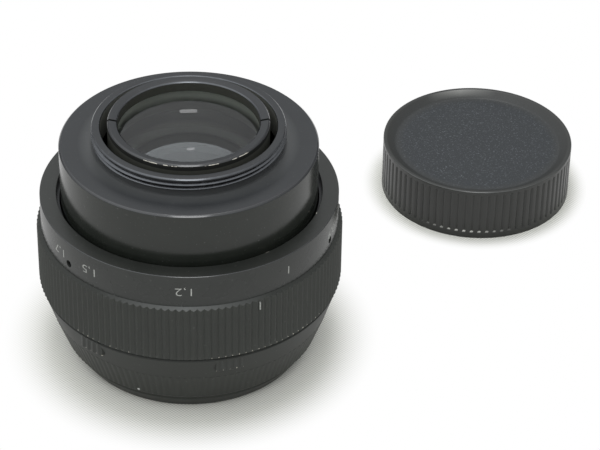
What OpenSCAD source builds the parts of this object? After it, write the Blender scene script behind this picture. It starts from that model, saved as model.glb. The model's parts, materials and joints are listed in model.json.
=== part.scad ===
// Preset-aperture prime lens with a screw mount, standing on its front rim, and its rear cap.
// Z is the optical axis. Z = 0 is the front rim, and the camera mount is at the top.

/* [Camera mount] */
// Outside diameter of the mount thread
thread_d = 42; // [40:0.5:44]
// Length of the mount thread behind the flange
thread_len = 4.3; // [3.5:0.1:5]
// Wall of the mount thread ring
thread_wall = 2; // [1.6:0.1:2.4]
// Depth of the relief groove at the foot of the thread
relief_depth = 0.6; // [0.3:0.1:1]
// Outside diameter of the mount barrel and its flange
mount_d = 56; // [53:0.5:62]
// Wall of the mount barrel
mount_wall = 2.4; // [2.2:0.1:2.8]
// Thickness of the rear flange plate
flange_t = 2; // [1.5:0.1:3]
// Length of mount barrel that shows at infinity
mount_show = 12.25; // [10:0.25:16]

/* [Focusing] */
// Advance of the focusing helicoid in one turn
focus_lead = 15; // [10:0.5:16]
// Turn of the focusing ring from infinity to its near limit, in degrees
focus_turn = 280; // [200:10:320]
// Rise of the focusing knurl above the distance scale ring
grip_step = 0.95; // [0.5:0.05:2]
// Length of the knurled focusing ring
grip_len = 13.8; // [11:0.2:18]
// Teeth round the focusing knurl
grip_teeth = 138; // [90:2:150]
// Depth of the focusing knurl
tooth_depth = 0.55; // [0.3:0.05:0.8]
// Wall of the distance scale ring round the helicoid sleeve
scale_wall = 2.32; // [1.8:0.02:4]
// Length of the distance scale ring
scale_len = 7.7; // [6:0.1:10]
// Opening of the scale ring's rear lip round the mount barrel
lip_gap = 0.9; // [0.4:0.1:1.2]
// Thickness of the scale ring's rear lip
lip_t = 1.7; // [1:0.1:2.5]
// Wall of the helicoid sleeve
helicoid_wall = 1.9; // [1.5:0.1:2.2]

/* [Aperture rings] */
// Length of the preset ring
preset_len = 5.9; // [5.4:0.1:8]
// Step from the focusing knurl in to the preset ring's rear edge
preset_drop = 0.5; // [0.3:0.05:1]
// Taper of the preset ring towards the front, on the radius
preset_taper = 2.35; // [1:0.05:2.4]
// Step from the focusing knurl in to the preset ring's knurled pads
pad_drop = 0.3; // [0.2:0.05:0.5]
// Pairs of knurled pads round the preset ring
pad_pairs = 2; // [1:1:3]
// Angle between the two pads of a pair, in degrees
pad_spread = 55.6; // [40:0.2:80]
// Teeth on one pad
pad_teeth = 5; // [3:1:8]
// Length of the pads
pad_len = 3.5; // [2.5:0.1:4.5]
// Length of the aperture ring
aperture_len = 7.65; // [6:0.05:10]
// Step from the preset ring's front edge out to the aperture ring
aperture_step = 0.55; // [0:0.05:1]
// Taper of the aperture ring towards the front, on the radius
aperture_taper = 2.6; // [1:0.05:2.8]

/* [Front] */
// Diameter of the filter thread
filter_d = 49; // [46:0.5:52]
// Wall of the filter ring at its front edge
rim_wall = 1.1; // [0.8:0.1:1.6]
// Length of the filter ring
rim_len = 4.2; // [3.5:0.1:6]

/* [Optics] */
// Wall of the front cell round the front element
front_wall = 3.3; // [2.5:0.1:4]
// Wall of the front cell round the cemented front triplet
triplet_wall = 4.1; // [3.5:0.1:5]
// Gap round the rear cell inside the mount thread ring
rear_clear = 1.55; // [0.8:0.05:2]
// Wall of the rear cell round the cemented rear triplet
rear_wall = 1.6; // [1.4:0.1:2.2]
// Reach of the rear cell behind the flange at infinity
rear_reach = 5.5; // [4.5:0.1:8]

/* [Iris] */
// Number of iris blades
blade_count = 7; // [6:1:7]
// Width of a blade
blade_w = 5.8; // [5.2:0.1:6.5]
// Swing of each blade from open to closed, in degrees
blade_swing = 38; // [30:1:38]
// Thickness of a blade
blade_t = 0.09; // [0.06:0.01:0.1]
// Rise of a blade from its pivot to its drive pin
blade_rise = 4.4; // [4.2:0.1:5]

/* [Rear cap] */
// Wall of the rear cap round the mount thread
cap_wall = 1.6; // [1.2:0.1:4]
// Height of the rear cap
cap_h = 13.3; // [11:0.1:16]
// Thickness of the rear cap's closed end
cap_floor = 1.9; // [1.2:0.1:3]
// Place of the rear cap beside the lens, to the right
cap_x = 66.9; // [62:0.1:90]
// Place of the rear cap beside the lens, to the back
cap_y = 61.2; // [40:0.1:90]

/* [Clearances] */
// Gap between pieces that turn or slide on each other
turn_gap = 0.3; // [0.2:0.05:0.4]
// Radial clearance of a running fit
run_gap = 0.08; // [0.04:0.01:0.1]
// Gap of a screwed or seated fit
seat_gap = 0.03; // [0.02:0.01:0.05]
// Gap that shows between two neighbouring rings
ring_gap = 0.3; // [0.2:0.05:0.6]

/* [Hidden] */
$fn = 96;
lens_fn = 240;
cut = 1;

black = [0.09, 0.09, 0.1];
satin = [0.16, 0.17, 0.17];
glass = [0.45, 0.55, 0.6, 0.5];
steel = [0.62, 0.63, 0.65];
blade_black = [0.12, 0.12, 0.13];
plastic = [0.07, 0.07, 0.075];

// Radii from the mount inwards
mount_r = mount_d / 2;
mount_in_r = mount_r - mount_wall;
barrel_r = mount_in_r - turn_gap;
barrel_wall = 1.4;
barrel_in_r = barrel_r - barrel_wall;
drive_r = barrel_in_r - turn_gap;
drive_wall = 0.7;
drive_in_r = drive_r - drive_wall;
cell_r = drive_in_r - turn_gap;
housing_wall = 1.6;
housing_in_r = cell_r - housing_wall;
ledge_w = 0.8;
thread_r = thread_d / 2;
thread_in_r = thread_r - thread_wall;

// Radii from the mount outwards
helicoid_in_r = mount_r + turn_gap;
helicoid_r = helicoid_in_r + helicoid_wall;
scale_r = helicoid_r + seat_gap + scale_wall;
grip_r = scale_r + grip_step;
lip_in_r = mount_r + lip_gap;
collar_step = 0.7;
collar_r = helicoid_r - collar_step;
bearing_step = 1.1;
bearing_r = barrel_r + bearing_step;
journal_step = 0.1;
journal_r = bearing_r + journal_step;
skirt_in_r = bearing_r + turn_gap;
skirt_wall = 1.5;
skirt_r = skirt_in_r + skirt_wall;
preset_in_r = skirt_r + turn_gap;
preset_hood_r = collar_r + turn_gap;
preset_rear_r = grip_r - preset_drop;
preset_front_r = preset_rear_r - preset_taper;
pad_r = grip_r - pad_drop;
aperture_rear_r = preset_front_r + aperture_step;
aperture_front_r = aperture_rear_r - aperture_taper;
bore_step = 0.9;
cell_bore_r = barrel_in_r + bore_step;
filter_r = filter_d / 2;
rim_r = filter_r + rim_wall;
rim_flare = 1.8;
rim_land = 1;
rim_band = 1;
filter_relief = 0.8;
rim_rear_r = max(rim_r + rim_flare, bearing_r + rim_land);

// Heights from the front rim to the mount
aperture_z = rim_len + ring_gap;
aperture_end = aperture_z + aperture_len;
preset_z = aperture_end + ring_gap;
preset_end = preset_z + preset_len;
grip_gap = 0.45;
grip_z = preset_end + grip_gap;
scale_z = grip_z + grip_len;
scale_end = scale_z + scale_len;
flange_z = scale_end + mount_show;
plate_z = flange_z - flange_t;
thread_end = flange_z + thread_len;
rear_end = flange_z + rear_reach;
skirt_drop = 1.7;
skirt_end = preset_end - skirt_drop;
collar_z = skirt_end + turn_gap;
collar_rise = 0.55;
collar_end = grip_z + collar_rise;
journal_len = 2.6;
journal_end = collar_end + journal_len;
sleeve_z = collar_end + turn_gap;
sleeve_flange_end = journal_end - turn_gap;
nut_len = 2;
nut_end = journal_end + nut_len;
sleeve_end = scale_end - lip_t;
nut_gap = 1.1;
mount_front = nut_end + nut_gap;
focus_travel = focus_lead * focus_turn / 360;

// Straight guide between the barrel and the mount
key_w = 4;
key_len = 5;
key_h = 1.3;
key_slot_gap = 0.2;
key_room = 1.3;
key_z = mount_front + focus_travel + key_room;
key_margin = 1;
barrel_end = key_z + key_len + key_margin;
key_screw_r = 0.75;

// Front group
seat_drop = 1.3;
cell_seat_z = aperture_end + seat_drop;
front_glass_r = cell_bore_r - front_wall;
front_glass_t = 6.5;
front_face_R = 52;
front_rear_R = 180;
edge_drop = 0.4;
front_edge_z = cell_seat_z - edge_drop;
front_rear_z = front_edge_z - sag(front_rear_R, front_glass_r);
front_vertex_z = front_rear_z - front_glass_t;
glass_gap = 0.05;
front_ring_gap = 0.7;
front_ring_cone = 1.2;
front_ring_land = 0.6;
front_ring_lap = 0.5;
front_ring_in_r = front_glass_r - front_ring_lap;
front_ring_z = rim_len + front_ring_gap;
front_ring_end = front_vertex_z + sag(front_face_R, front_ring_in_r) - glass_gap;
triplet_r = cell_r - triplet_wall;
cement = 0.02;
crown_gap = 0.9;
crown_z = front_rear_z + crown_gap;
crown_t = 8;
crown_R = 36;
filler_z = crown_z + crown_t;
filler_t = 4;
filler_R = -220;
flint_z = filler_z + filler_t;
flint_t = 2;
flint_R = -90;
flint_rear_R = -400;
hollow_z = flint_z + flint_t;
hollow_depth = 4.55;
triplet_end = hollow_z + hollow_depth;
triplet_lip = 2.3;
lip_r = triplet_r - triplet_lip;
cell_lip = 0.8;
cell_end = triplet_end + cell_lip;
crown_ring_w = 0.9;
crown_ring_in_r = triplet_r - crown_ring_w;
crown_ring_end = crown_z + sag(crown_R, crown_ring_in_r) - glass_gap;
crown_ring_len = 2;

// Iris
plate_t = 1.2;
iris_floor = cell_end + plate_t;
blade_room = 2.4;
blade_out_r = housing_in_r - blade_room;
blade_in_r = blade_out_r - blade_w;
blade_lap = 0.4;
stop_r = blade_in_r - blade_lap;
hollow_margin = 1;
hollow_r = stop_r + hollow_margin;
hollow_R = (hollow_r * hollow_r + hollow_depth * hollow_depth) / (2 * hollow_depth);
pivot_inset = 1.6;
pivot_r = blade_out_r - pivot_inset;
pin_r = 0.5;
pin_gap = 0.2;
pin_bury = 0.1;
blade_end_r = 1.5;
blade_arm = 1.2;
arm_angle = 4;
blade_gap = 0.6;
blade_z = iris_floor + blade_gap;
blade_span = 180 - blade_swing;
chord = 2 * pivot_r * sin(blade_span / 2);
tilt = asin(blade_rise / chord);
reach = chord * cos(tilt);
chord_dir = 90 + blade_span / 2;
rotor_turn = 2 * blade_swing;
rise_gap = 0.5;
ledge_z = blade_z + blade_rise + rise_gap;
rotor_gap = 0.15;
rotor_z = ledge_z + rotor_gap;
rotor_t = 1.1;
rotor_end = rotor_z + rotor_t;
rotor_mid = (rotor_z + rotor_end) / 2;
swings = [for (i = [0:8]) blade_swing * i / 8];
lags = [for (a = swings) polar(pin_at(a)) - 2 * a];
pin_radii = [for (a = swings) norm(pin_at(a))];
slot_dir = (max(lags) + min(lags)) / 2;
slot_play = (max(lags) - min(lags)) / 2 * PI / 180 * pivot_r;
slot_half = pin_r + slot_play + run_gap;
slot_in = min(pin_radii) - pin_r - turn_gap;
slot_out = max(pin_radii) + pin_r + turn_gap;
slot_rim = 1;
rotor_in_r = slot_in - slot_rim;
rotor_r = housing_in_r - turn_gap;

// Rear group
flange_gap = 0.35;
flange_in_z = rotor_end + flange_gap;
cell_flange_t = 1.6;
housing_end = flange_in_z + cell_flange_t;
rear_cell_r = thread_in_r - rear_clear;
rear_glass_r = rear_cell_r - rear_wall;
rear_seat_t = 1.8;
rear_seat_z = flange_in_z + rear_seat_t;
rear_front_R = -150;
rear_front_z = rear_seat_z + glass_gap + sag(-rear_front_R, rear_glass_r);
rear_drop = 2.25;
rear_vertex_z = rear_end - rear_drop;
rear_R = -180;
rear_edge_z = rear_vertex_z - sag(-rear_R, rear_glass_r);
rear_crown_R = 60;
rear_front_t = 2.5;
rear_crown_z = rear_front_z + rear_front_t;
rear_last_R = -40;
rear_last_t = 3.8;
rear_last_z = rear_vertex_z - rear_last_t;
ring_lap = 0.6;
ring_in_r = rear_glass_r - ring_lap;
ring_foot_gap = 0.3;
ring_foot_z = rear_edge_z + ring_foot_gap;
ring_head = 1.4;
ring_slope = 0.45;
ring_thread_wall = 0.8;
ring_thread_r = rear_cell_r - ring_thread_wall;
spanner_w = 0.6;
spanner_depth = 1;
spanner_dir = 2.3;

// Drive from the aperture ring to the iris
drive_screw_r = 0.8;
drive_inset = 1;
drive_z = skirt_end - drive_inset;
drive_gap = 0.5;
drive_start = cell_seat_z + drive_gap;
drive_over = 0.3;
drive_end = rotor_end + drive_over;
rotor_pin_r = 0.4;
rotor_pin_inset = 0.75;
rotor_pin_in_r = slot_out + rotor_pin_inset;
pin_end_gap = 0.05;
slot_margin = 4;
stop_screw_r = 0.6;
stop_bite = 1.1;
stop_end_gap = 0.1;
stop_rise = 2;
stop_z = preset_z + stop_rise;
stop_dir = 60;
drive_dir = 200;
rotor_pin_dir = slot_dir + 180 / blade_count;

// Small screws, grooves and edges
set_screw_r = 0.8;
set_screw_rise = 2.2;
set_screw_z = scale_z + set_screw_rise;
set_screw_sink = 0.5;
set_screw_dirs = [100.6, 220.6, 340.6];
lock_screw_r = 0.7;
lock_screw_sink = 0.4;
lock_screw_z = plate_z + flange_t / 2;
lock_dir = 130;
screw_sink = 0.1;
relief_len = 0.7;
thread_edge = 0.2;
fine_edge = 0.1;
edge = 0.4;
grip_edge = 0.3;
overcut = 0.5;
half_tooth = 180 / grip_teeth;
pad_dir = 259.6;
pad_bury = 0.4;
pad_root_r = preset_hood_r + pad_bury;

// Rear cap
cap_clear = 0.2;
cap_in_r = thread_r + cap_clear;
cap_r = cap_in_r + cap_wall;
cap_rim = 1.7;
cap_recess = 0.8;

// Depth of a spherical surface of radius R at radius r
function sag(R, r) = R - sqrt(R * R - r * r);

// Place of a blade's drive pin when the blade has turned by a
function pin_at(a) = [pivot_r + reach * cos(chord_dir + a), reach * sin(chord_dir + a)];

function polar(p) = atan2(p.y, p.x) < 0 ? atan2(p.y, p.x) + 360 : atan2(p.y, p.x);

// Outline points of a straight knurl, from the first half tooth to the last
function knurl(r, first, last) = [
    for (i = [first:last])
        (i % 2 == 0 ? r : r - tooth_depth) * [cos(i * half_tooth), sin(i * half_tooth)]
];

// Round piece turned from a half section of [radius, height] points
module turned(points) {
    rotate_extrude()
        polygon(points);
}

// Slot that runs round the axis through a wall
module arc_slot(r_in, r_out, z, height, from, angle) {
    rotate([0, 0, from])
        rotate_extrude(angle = angle)
            translate([r_in, z - height / 2])
                square([r_out - r_in, height]);
}

// Cylinder that lies along a radius
module radial(r, r_in, r_out, z, dir) {
    rotate([0, 0, dir])
        translate([r_in, 0, z])
            rotate([0, 90, 0])
                cylinder(r = r, h = r_out - r_in);
}

// Glass element between two spherical faces. A positive R has its centre behind the face.
module element(r, z_front, R_front, z_rear, R_rear) {
    low = R_front > 0 ? z_front : z_front - sag(-R_front, r);
    high = R_rear > 0 ? z_rear + sag(R_rear, r) : z_rear;
    difference() {
        intersection() {
            translate([0, 0, low])
                cylinder(r = r, h = high - low);
            if (R_front > 0)
                translate([0, 0, z_front + R_front])
                    sphere(r = R_front, $fn = lens_fn);
            if (R_rear < 0)
                translate([0, 0, z_rear + R_rear])
                    sphere(r = -R_rear, $fn = lens_fn);
        }
        if (R_front < 0)
            translate([0, 0, z_front + R_front])
                sphere(r = -R_front, $fn = lens_fn);
        if (R_rear > 0)
            translate([0, 0, z_rear + R_rear])
                sphere(r = R_rear, $fn = lens_fn);
    }
}

// Front ring with the filter thread, which the lens stands on
module filter_ring() {
    color(black)
        turned([
            [filter_r, 0], [rim_r - edge, 0], [rim_r, edge],
            [rim_rear_r, rim_len - rim_band], [rim_rear_r, rim_len], [cell_bore_r, rim_len],
            [cell_bore_r, rim_len - filter_relief], [filter_r, rim_len - filter_relief]
        ]);
}

// Tube that carries the rings outside and the optics inside
module main_barrel() {
    color(black)
        difference() {
            turned([
                [cell_bore_r, rim_len], [bearing_r, rim_len], [bearing_r, collar_z],
                [collar_r, collar_z], [collar_r, collar_end], [journal_r, collar_end],
                [journal_r, journal_end], [barrel_r, journal_end], [barrel_r, barrel_end],
                [barrel_in_r, barrel_end], [barrel_in_r, cell_seat_z], [cell_bore_r, cell_seat_z]
            ]);
            arc_slot(barrel_in_r - cut, bearing_r + cut, drive_z, 2 * drive_screw_r + 2 * turn_gap,
                drive_dir - slot_margin, rotor_turn + 2 * slot_margin);
            for (side = [0, 180])
                radial(key_screw_r + seat_gap, barrel_in_r - cut, barrel_r + cut,
                    key_z + key_len / 2, side);
        }
}

// Cell of the front group, seated in the barrel by its flange
module front_cell() {
    color(black)
        turned([
            [front_glass_r + seat_gap, front_ring_end], [cell_bore_r - seat_gap, front_ring_end],
            [cell_bore_r - seat_gap, cell_seat_z], [cell_r, cell_seat_z], [cell_r, cell_end],
            [lip_r, cell_end], [lip_r, triplet_end + seat_gap],
            [triplet_r + seat_gap, triplet_end + seat_gap], [triplet_r + seat_gap, front_edge_z + seat_gap],
            [front_glass_r + seat_gap, front_edge_z + seat_gap]
        ]);
}

module front_retaining_ring() {
    color(black)
        difference() {
            turned([
                [front_glass_r + front_ring_cone, front_ring_z], [cell_bore_r - seat_gap, front_ring_z],
                [cell_bore_r - seat_gap, front_ring_end], [front_ring_in_r, front_ring_end],
                [front_ring_in_r, front_ring_end - front_ring_land]
            ]);
            for (side = [0, 180])
                rotate([0, 0, side])
                    translate([front_glass_r, -spanner_w / 2, front_ring_z - cut])
                        cube([filter_r, spanner_w, cut + spanner_depth]);
        }
}

module front_element() {
    color(glass)
        element(front_glass_r, front_vertex_z, front_face_R, front_rear_z, front_rear_R);
}

module triplet_retaining_ring() {
    color(black)
        turned([
            [crown_ring_in_r, crown_ring_end - crown_ring_len], [triplet_r, crown_ring_end - crown_ring_len],
            [triplet_r, crown_ring_end], [crown_ring_in_r, crown_ring_end]
        ]);
}

module front_triplet_crown() {
    color(glass)
        element(triplet_r, crown_z, crown_R, filler_z - cement, filler_R);
}

module front_triplet_filler() {
    color(glass)
        element(triplet_r, filler_z, filler_R, flint_z - cement, flint_R);
}

// Last glass of the front triplet, with the deep hollow in front of the iris
module front_triplet_flint() {
    color(glass)
        difference() {
            element(triplet_r, flint_z, flint_R, triplet_end, flint_rear_R);
            translate([0, 0, hollow_z + hollow_R])
                sphere(r = hollow_R, $fn = lens_fn);
        }
}

// Cup behind the front cell, with the blades' pivot holes in its floor
module iris_housing() {
    color(black)
        difference() {
            turned([
                [stop_r, cell_end], [cell_r, cell_end], [cell_r, housing_end],
                [housing_in_r, housing_end], [housing_in_r, ledge_z],
                [housing_in_r - ledge_w, ledge_z], [housing_in_r - ledge_w, iris_floor],
                [stop_r, iris_floor]
            ]);
            for (i = [0:blade_count - 1])
                rotate([0, 0, i * 360 / blade_count])
                    translate([pivot_r, 0, cell_end - cut])
                        cylinder(r = pin_r + run_gap, h = plate_t + 2 * cut);
            arc_slot(housing_in_r - ledge_w - cut, cell_r + cut, rotor_mid,
                2 * rotor_pin_r + 2 * turn_gap, rotor_pin_dir - slot_margin, rotor_turn + 2 * slot_margin);
        }
}

// Tube of the rear group, screwed into the iris housing
module rear_cell() {
    color(black)
        turned([
            [rotor_in_r, flange_in_z], [housing_in_r - seat_gap, flange_in_z],
            [housing_in_r - seat_gap, housing_end], [rear_cell_r, housing_end],
            [rear_cell_r, rear_end - ring_head], [ring_thread_r, rear_end - ring_head],
            [ring_thread_r, rear_edge_z], [rear_glass_r + seat_gap, rear_edge_z],
            [rear_glass_r + seat_gap, rear_seat_z], [rotor_in_r, rear_seat_z]
        ]);
}

module rear_triplet_front() {
    color(glass)
        element(rear_glass_r, rear_front_z, rear_front_R, rear_crown_z - cement, rear_crown_R);
}

module rear_triplet_middle() {
    color(glass)
        element(rear_glass_r, rear_crown_z, rear_crown_R, rear_last_z - cement, rear_last_R);
}

module rear_triplet_rear() {
    color(glass)
        element(rear_glass_r, rear_last_z, rear_last_R, rear_vertex_z, rear_R);
}

// Ring that holds the rear glass, with two spanner slots
module rear_retaining_ring() {
    color(black)
        difference() {
            turned([
                [ring_in_r, ring_foot_z], [ring_thread_r - seat_gap, ring_foot_z],
                [ring_thread_r - seat_gap, rear_end - ring_head], [rear_cell_r, rear_end - ring_head],
                [rear_cell_r, rear_end - edge], [rear_cell_r - edge, rear_end],
                [ring_in_r, rear_end - ring_slope]
            ]);
            for (side = [0, 180])
                rotate([0, 0, spanner_dir + side])
                    translate([ring_in_r - cut, -spanner_w / 2, rear_end - spanner_depth])
                        cube([rear_cell_r, spanner_w, spanner_depth + cut]);
        }
}

// Nut that keeps the focusing sleeve on its journal
module focus_retaining_ring() {
    color(satin)
        difference() {
            turned([
                [barrel_r + seat_gap, journal_end], [mount_r, journal_end],
                [mount_r, nut_end], [barrel_r + seat_gap, nut_end]
            ]);
            for (side = [0, 180])
                rotate([0, 0, side])
                    translate([barrel_r, -spanner_w / 2, nut_end - spanner_depth])
                        cube([mount_r, spanner_w, spanner_depth + cut]);
        }
}

// Two keys on the barrel that keep the mount from turning
module guide_keys() {
    color(steel)
        for (side = [0, 180])
            difference() {
                intersection() {
                    turned([
                        [barrel_r, key_z], [barrel_r + key_h, key_z],
                        [barrel_r + key_h, key_z + key_len], [barrel_r, key_z + key_len]
                    ]);
                    rotate([0, 0, side])
                        translate([0, -key_w / 2, key_z])
                            cube([mount_r, key_w, key_len]);
                }
                radial(key_screw_r + seat_gap, barrel_r - cut, mount_r, key_z + key_len / 2, side);
            }
}

module guide_key_screws() {
    color(steel)
        for (side = [0, 180])
            radial(key_screw_r, barrel_in_r + screw_sink, barrel_r + key_h - 2 * screw_sink,
                key_z + key_len / 2, side);
}

// Inner sleeve of the focusing ring, which turns on the barrel's journal
module helicoid_sleeve() {
    color(satin)
        turned([
            [journal_r + run_gap, sleeve_z], [helicoid_r, sleeve_z], [helicoid_r, sleeve_end],
            [helicoid_in_r, sleeve_end], [helicoid_in_r, sleeve_flange_end],
            [journal_r + run_gap, sleeve_flange_end]
        ]);
}

// Broad straight knurl, cut off by a bevel at the rear edge
module focus_grip_ring() {
    color(black)
        difference() {
            intersection() {
                translate([0, 0, grip_z])
                    linear_extrude(grip_len)
                        polygon(knurl(grip_r, 0, 2 * grip_teeth - 1));
                turned([
                    [0, grip_z], [grip_r - grip_edge, grip_z],
                    [grip_r + overcut, grip_z + grip_edge + overcut],
                    [grip_r + overcut, scale_z - grip_step - overcut], [scale_r, scale_z], [0, scale_z]
                ]);
            }
            translate([0, 0, grip_z - cut])
                cylinder(r = helicoid_r + seat_gap, h = grip_len + 2 * cut);
        }
}

// Smooth ring for the distance figures, with a rear lip and three set screw holes
module distance_scale_ring() {
    color(black)
        difference() {
            turned([
                [helicoid_r + seat_gap, scale_z], [scale_r, scale_z], [scale_r, scale_end - edge],
                [scale_r - edge, scale_end], [lip_in_r, scale_end], [lip_in_r, sleeve_end],
                [helicoid_r + seat_gap, sleeve_end]
            ]);
            for (dir = set_screw_dirs)
                radial(set_screw_r + seat_gap, helicoid_r - cut, scale_r + cut, set_screw_z, dir);
        }
}

module scale_set_screws() {
    color(steel)
        for (dir = set_screw_dirs)
            radial(set_screw_r, helicoid_r + seat_gap, scale_r - set_screw_sink, set_screw_z, dir);
}

// Fixed outer barrel with the flange that meets the camera
module mount_barrel() {
    color(satin)
        difference() {
            turned([
                [mount_in_r, mount_front], [mount_r, mount_front], [mount_r, flange_z - edge],
                [mount_r - edge, flange_z], [thread_r + seat_gap, flange_z],
                [thread_r + seat_gap, plate_z], [mount_in_r, plate_z]
            ]);
            for (side = [0, 180])
                rotate([0, 0, side])
                    translate([0, -key_w / 2 - key_slot_gap, mount_front - cut])
                        cube([barrel_r + key_h + turn_gap, key_w + 2 * key_slot_gap,
                            barrel_end - mount_front + cut]);
            radial(lock_screw_r + seat_gap, thread_r, mount_r + cut, lock_screw_z, lock_dir);
        }
}

// Ring that carries the mount thread
module mount_thread_ring() {
    color(black)
        turned([
            [thread_in_r, plate_z], [thread_r, plate_z], [thread_r, flange_z],
            [thread_r - relief_depth, flange_z], [thread_r - relief_depth, flange_z + relief_len],
            [thread_r, flange_z + relief_len], [thread_r, thread_end - thread_edge],
            [thread_r - thread_edge, thread_end], [thread_in_r + thread_edge, thread_end],
            [thread_in_r, thread_end - thread_edge]
        ]);
}

module mount_lock_screw() {
    color(steel)
        radial(lock_screw_r, thread_r + 2 * seat_gap, mount_r - lock_screw_sink, lock_screw_z, lock_dir);
}

// Tapered front ring, with a skirt that runs under the preset ring
module aperture_ring() {
    color(black)
        difference() {
            turned([
                [skirt_in_r, aperture_z], [aperture_front_r - edge, aperture_z],
                [aperture_front_r, aperture_z + edge], [aperture_rear_r, aperture_end - fine_edge],
                [aperture_rear_r - fine_edge, aperture_end], [skirt_r, aperture_end],
                [skirt_r, skirt_end], [skirt_in_r, skirt_end]
            ]);
            arc_slot(skirt_in_r - cut, skirt_r + cut, stop_z, 2 * stop_screw_r + 2 * turn_gap,
                stop_dir - 2 * rotor_turn - slot_margin, 2 * rotor_turn + 2 * slot_margin);
            radial(drive_screw_r + seat_gap, skirt_in_r - cut, skirt_r + cut, drive_z, drive_dir);
        }
}

// Screw that joins the aperture ring to the drive sleeve through the barrel
module aperture_drive_screw() {
    color(steel)
        radial(drive_screw_r, drive_in_r + screw_sink, skirt_r - screw_sink, drive_z, drive_dir);
}

// Thin tube that takes the aperture ring's turn back to the iris
module iris_drive_sleeve() {
    color(satin)
        difference() {
            turned([
                [drive_in_r, drive_start], [drive_r, drive_start],
                [drive_r, drive_end], [drive_in_r, drive_end]
            ]);
            radial(drive_screw_r + seat_gap, drive_in_r - cut, drive_r + cut, drive_z, drive_dir);
            radial(rotor_pin_r + seat_gap, drive_in_r - cut, drive_r + cut,
                rotor_mid, rotor_pin_dir);
        }
}

// Slotted ring that swings all the blades together
module iris_rotor() {
    color(satin)
        difference() {
            turned([
                [rotor_in_r, rotor_z], [rotor_r, rotor_z], [rotor_r, rotor_end], [rotor_in_r, rotor_end]
            ]);
            for (i = [0:blade_count - 1])
                rotate([0, 0, slot_dir + i * 360 / blade_count])
                    translate([slot_in, -slot_half, rotor_z - cut])
                        cube([slot_out - slot_in, 2 * slot_half, rotor_t + 2 * cut]);
            radial(rotor_pin_r + seat_gap, rotor_pin_in_r - pin_end_gap, rotor_r + cut,
                rotor_mid, rotor_pin_dir);
        }
}

module rotor_pin() {
    color(steel)
        radial(rotor_pin_r, rotor_pin_in_r, drive_r - screw_sink, rotor_mid, rotor_pin_dir);
}

// Tapered ring with knurled pads, which presets the working stop
module preset_ring() {
    pad_foot = pad_root_r * [cos(pad_teeth * half_tooth), sin(pad_teeth * half_tooth)];
    color(black)
        difference() {
            union() {
                turned([
                    [preset_in_r, preset_z], [preset_front_r - fine_edge, preset_z],
                    [preset_front_r, preset_z + fine_edge], [preset_rear_r, preset_end - edge],
                    [preset_rear_r - edge, preset_end],
                    [preset_hood_r, preset_end], [preset_hood_r, skirt_end], [preset_in_r, skirt_end]
                ]);
                for (pair = [0:pad_pairs - 1], side = [-1, 1])
                    rotate([0, 0, pad_dir + pair * 360 / pad_pairs + side * pad_spread / 2])
                        translate([0, 0, preset_end - pad_len])
                            linear_extrude(pad_len - edge / 2)
                                polygon(concat(
                                    [[pad_foot.x, -pad_foot.y]],
                                    knurl(pad_r, -pad_teeth, pad_teeth),
                                    [pad_foot]
                                ));
            }
            radial(stop_screw_r + seat_gap, preset_in_r - cut, preset_in_r + stop_bite + stop_end_gap,
                stop_z, stop_dir);
        }
}

// Screw in the preset ring that stops the aperture ring at the chosen value
module preset_stop_screw() {
    color(steel)
        radial(stop_screw_r, skirt_in_r + turn_gap, preset_in_r + stop_bite, stop_z, stop_dir);
}

// Outline of a flat blade: pivot at the origin, drive pin along X
module blade_outline() {
    middle = pivot_r * [cos(blade_swing / 2), sin(blade_swing / 2)];
    wide = [for (i = [0:8]) 180 + blade_swing / 2 + arm_angle + (blade_span - 2 * arm_angle) * i / 8];
    full = [for (i = [0:8]) 180 + blade_swing / 2 + blade_span * i / 8];
    translate(middle) {
        blade_band(blade_in_r, blade_out_r, wide);
        blade_band(pivot_r - blade_arm, pivot_r + blade_arm, full);
    }
    circle(r = blade_end_r);
    translate([chord, 0])
        circle(r = blade_end_r);
}

// Part of a ring between the first and the last of the given directions
module blade_band(r_in, r_out, dirs) {
    intersection() {
        difference() {
            circle(r = r_out);
            circle(r = r_in);
        }
        polygon(concat([[0, 0]], [for (a = dirs) 2 * r_out * [cos(a), sin(a)]]));
    }
}

// Blade with its pivot pin in the housing and its drive pin in a rotor slot
module iris_blade(i) {
    color(blade_black)
        rotate([0, 0, i * 360 / blade_count])
            translate([pivot_r, 0, blade_z])
                rotate([0, 0, chord_dir]) {
                    rotate([0, -tilt, 0])
                        linear_extrude(blade_t)
                            blade_outline();
                    translate([0, 0, cell_end + pin_gap - blade_z])
                        cylinder(r = pin_r, h = blade_z - cell_end - pin_gap + pin_bury);
                    translate([reach, 0, blade_rise])
                        cylinder(r = pin_r, h = rotor_end - blade_z - blade_rise);
                }
}

// Screw-on rear cap, lying with its closed end up
module rear_cap() {
    color(plastic)
        translate([cap_x, cap_y, 0])
            turned([
                [cap_in_r, 0], [cap_r, 0], [cap_r, cap_h - edge], [cap_r - edge, cap_h],
                [cap_r - cap_rim, cap_h], [cap_r - cap_rim - cap_recess, cap_h - cap_recess],
                [0, cap_h - cap_recess], [0, cap_h - cap_recess - cap_floor],
                [cap_in_r, cap_h - cap_recess - cap_floor]
            ]);
}

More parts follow.
